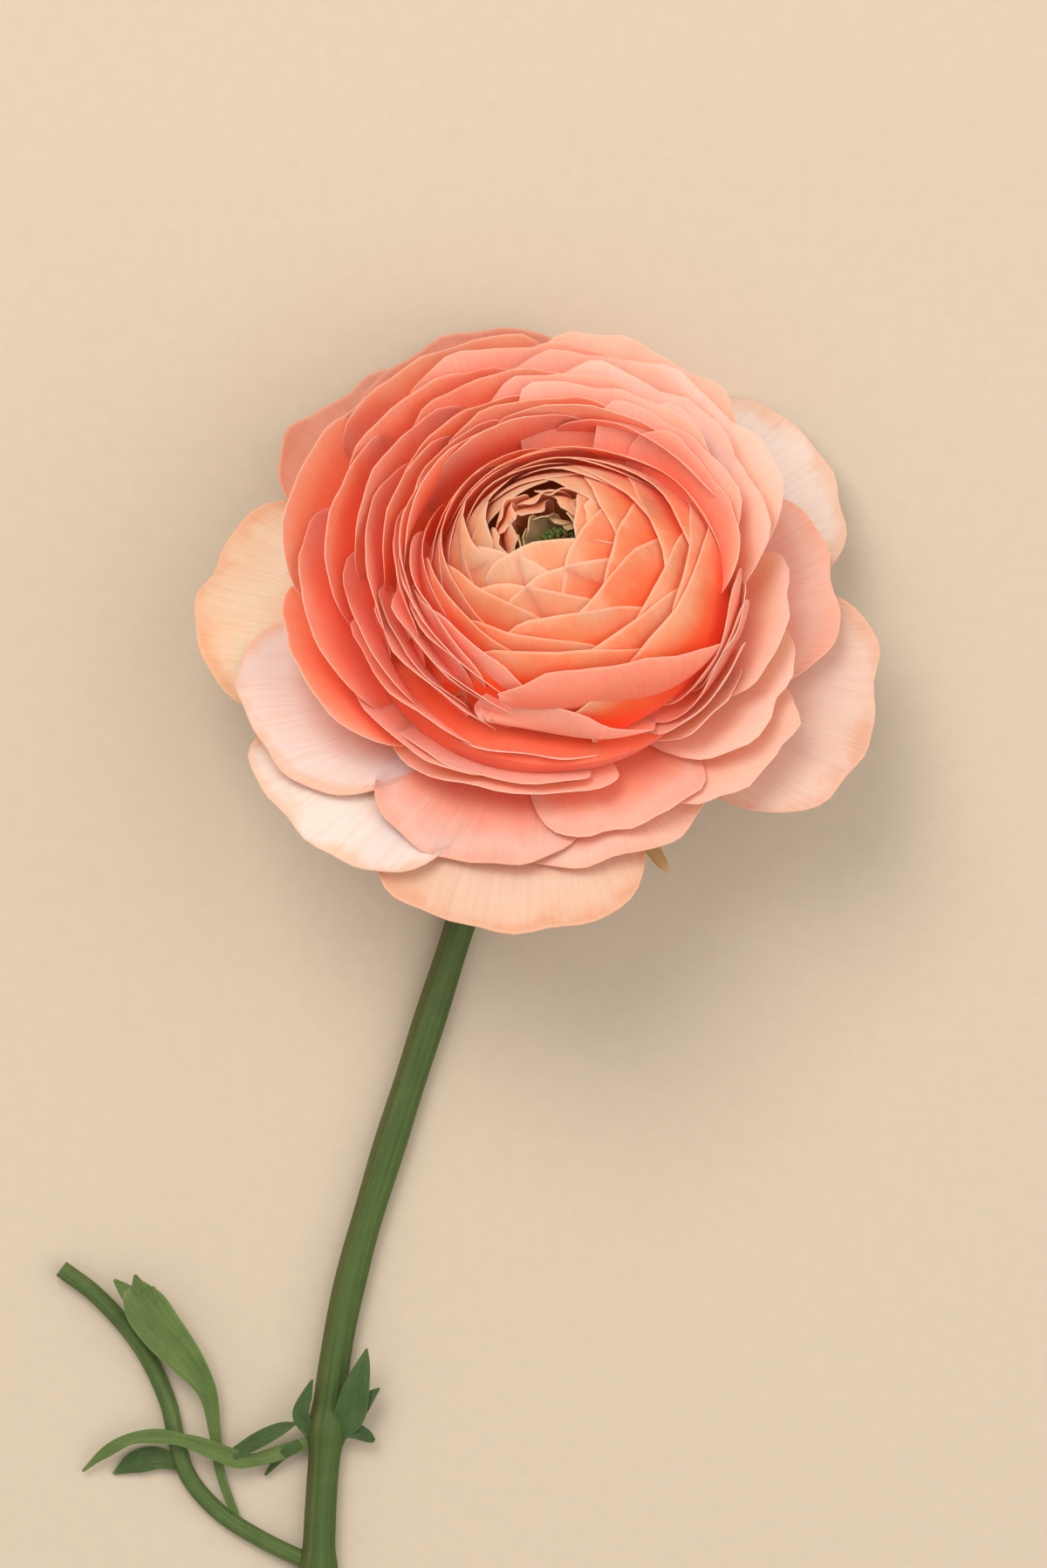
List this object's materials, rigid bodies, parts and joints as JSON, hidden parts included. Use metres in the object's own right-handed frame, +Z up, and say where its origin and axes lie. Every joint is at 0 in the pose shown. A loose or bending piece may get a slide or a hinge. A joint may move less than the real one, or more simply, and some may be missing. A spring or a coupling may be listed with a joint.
{
  "type": "ranunculus flower",
  "caption": "Cut ranunculus bloom in coral and blush, lying on its back on a bent stem with a leafy joint and a side shoot.",
  "frame": {"origin": "middle of the flat spot under the lying stem, on the surface that the flower lies on", "axes": "+Z up from the surface, +Y along the stem towards the bloom, +X to the bloom's right seen from above"},
  "size_m": [0.117, 0.1816, 0.05],
  "materials": {
    "heart_petal": "satin",
    "coral_petal": "satin",
    "pale_petal": "satin",
    "carpel": "matt, granular",
    "stamen": "matt, dry",
    "sepal": "matt, dry",
    "green_stem": "satin",
    "green_leaf": "matt",
    "pale_leaf": "matt"
  },
  "bodies": {
    "root": {"heart_petals": "heart_petal", "cup_petals": "coral_petal", "guard_petals": "pale_petal", "carpel_head": "carpel", "stamens": "stamen", "sepals": "sepal", "stem": "green_stem", "right_bract": "green_leaf", "left_bract": "green_leaf", "trailing_leaf": "pale_leaf", "side_shoot": "pale_leaf"}
  },
  "joints": []
}
